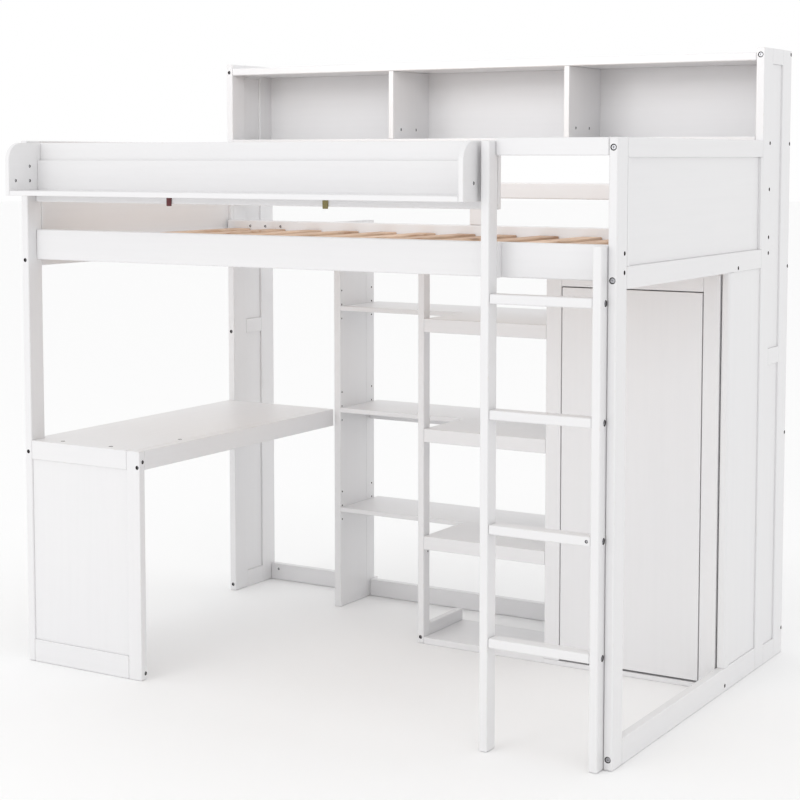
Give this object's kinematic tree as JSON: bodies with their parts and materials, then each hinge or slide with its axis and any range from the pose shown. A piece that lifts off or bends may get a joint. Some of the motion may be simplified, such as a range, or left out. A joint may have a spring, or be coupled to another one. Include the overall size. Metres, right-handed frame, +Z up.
{
  "type": "loft bed with desk",
  "caption": "White high bed over a desk, open shelves and a wardrobe, with a deep bookcase along the back, a guard tray in front and a vertical ladder.",
  "frame": {"origin": "on the floor, under the middle of the outer box", "axes": "+X along the bed towards the ladder end, +Y from the tray and ladder to the bookcase and wall, +Z up"},
  "size_m": [2, 1.417, 1.907],
  "materials": {
    "white_paint": "satin white paint on pine and board",
    "bare_pine": "bare planed pine",
    "zinc_plated_steel": "zinc plated"
  },
  "bodies": {
    "frame": {"back_shelf_1": "white_paint", "back_shelf_2": "white_paint", "back_shelf_3": "white_paint", "back_shelf_rail": "white_paint", "bookcase_floor_rail_left": "white_paint", "bookcase_floor_rail_right": "white_paint", "box_back_panel": "white_paint", "box_divider_1": "white_paint", "box_divider_2": "white_paint", "box_floor": "white_paint", "desk_end_panel": "white_paint", "desk_leg": "white_paint", "desk_side_apron": "white_paint", "desk_top": "white_paint", "front_guard_board": "white_paint", "front_left_post": "white_paint", "front_right_post": "white_paint", "front_side_rail": "white_paint", "front_slat_ledger": "bare_pine", "inner_upright": "white_paint", "ladder_left_stile": "white_paint", "ladder_right_stile": "white_paint", "ladder_rung_1": "white_paint", "ladder_rung_2": "white_paint", "ladder_rung_3": "white_paint", "ladder_rung_4": "white_paint", "ladder_spacer": "white_paint", "ladder_top_bar": "white_paint", "left_column": "white_paint", "left_end_guard": "white_paint", "rear_guard_block": "white_paint", "rear_guard_board": "white_paint", "rear_side_rail": "white_paint", "rear_slat_ledger": "bare_pine", "right_column": "white_paint", "right_end_guard": "white_paint", "right_floor_rail": "white_paint", "right_lower_panel": "white_paint", "shelf_floor_rail": "white_paint", "shelf_post": "white_paint", "slat_roll": "bare_pine", "top_board": "white_paint", "tower_floor_board": "white_paint", "tower_shelf_1": "white_paint", "tower_shelf_2": "white_paint", "tower_shelf_3": "white_paint", "tray_back": "white_paint", "tray_floor": "white_paint", "tray_left_end": "white_paint", "tray_right_end": "white_paint", "wardrobe_back": "white_paint", "wardrobe_face_frame": "white_paint", "wardrobe_floor": "white_paint", "wardrobe_left_side": "white_paint", "wardrobe_right_side": "white_paint", "wardrobe_rod": "zinc_plated_steel", "wardrobe_top": "white_paint"},
    "door": {"wardrobe_door": "white_paint", "door_hinge_1": "zinc_plated_steel", "door_hinge_2": "zinc_plated_steel"}
  },
  "joints": [
    {"name": "door_hinge", "type": "hinge", "parent": "frame", "child": "door", "pos_m": [0.916, 0.1965, 0.6], "axis": [0, 0, 1], "range_deg": [0, 90]}
  ]
}
